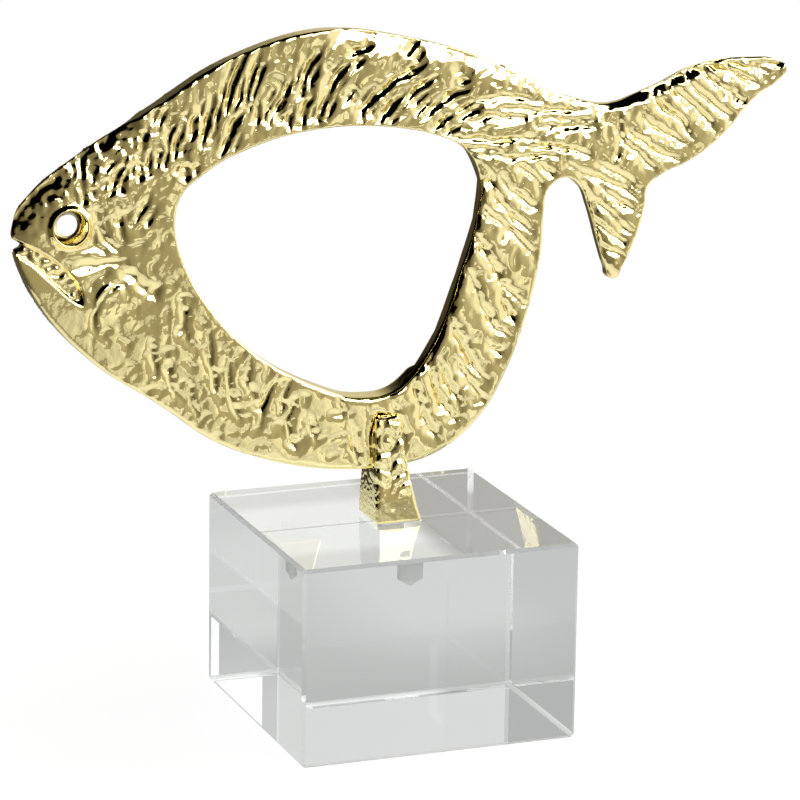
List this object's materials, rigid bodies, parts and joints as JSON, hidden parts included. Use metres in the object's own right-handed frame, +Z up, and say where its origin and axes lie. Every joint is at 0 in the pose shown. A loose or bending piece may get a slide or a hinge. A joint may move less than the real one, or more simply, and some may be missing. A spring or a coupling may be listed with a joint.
{
  "type": "fish figurine",
  "caption": "Polished gold-plated fish figurine with an open ring-shaped body, carried by a forked post on a clear crystal block with bevelled edges.",
  "frame": {"origin": "centre of the crystal block's underside, the face that the figurine stands on", "axes": "+X from the fish's head to its tail, +Y from the viewed face to the rear face, +Z up"},
  "size_m": [0.2816, 0.1, 0.2429],
  "materials": {
    "gold_plate": "polished gold plating over a hammered casting",
    "crystal": "clear, optically polished",
    "steel": "plain threaded rod",
    "resin": "cured, milky and translucent"
  },
  "bodies": {
    "root": {"fish_casting": "gold_plate", "support_post": "gold_plate", "crystal_base": "crystal", "mounting_stud": "steel", "bonding_resin": "resin"}
  },
  "joints": []
}
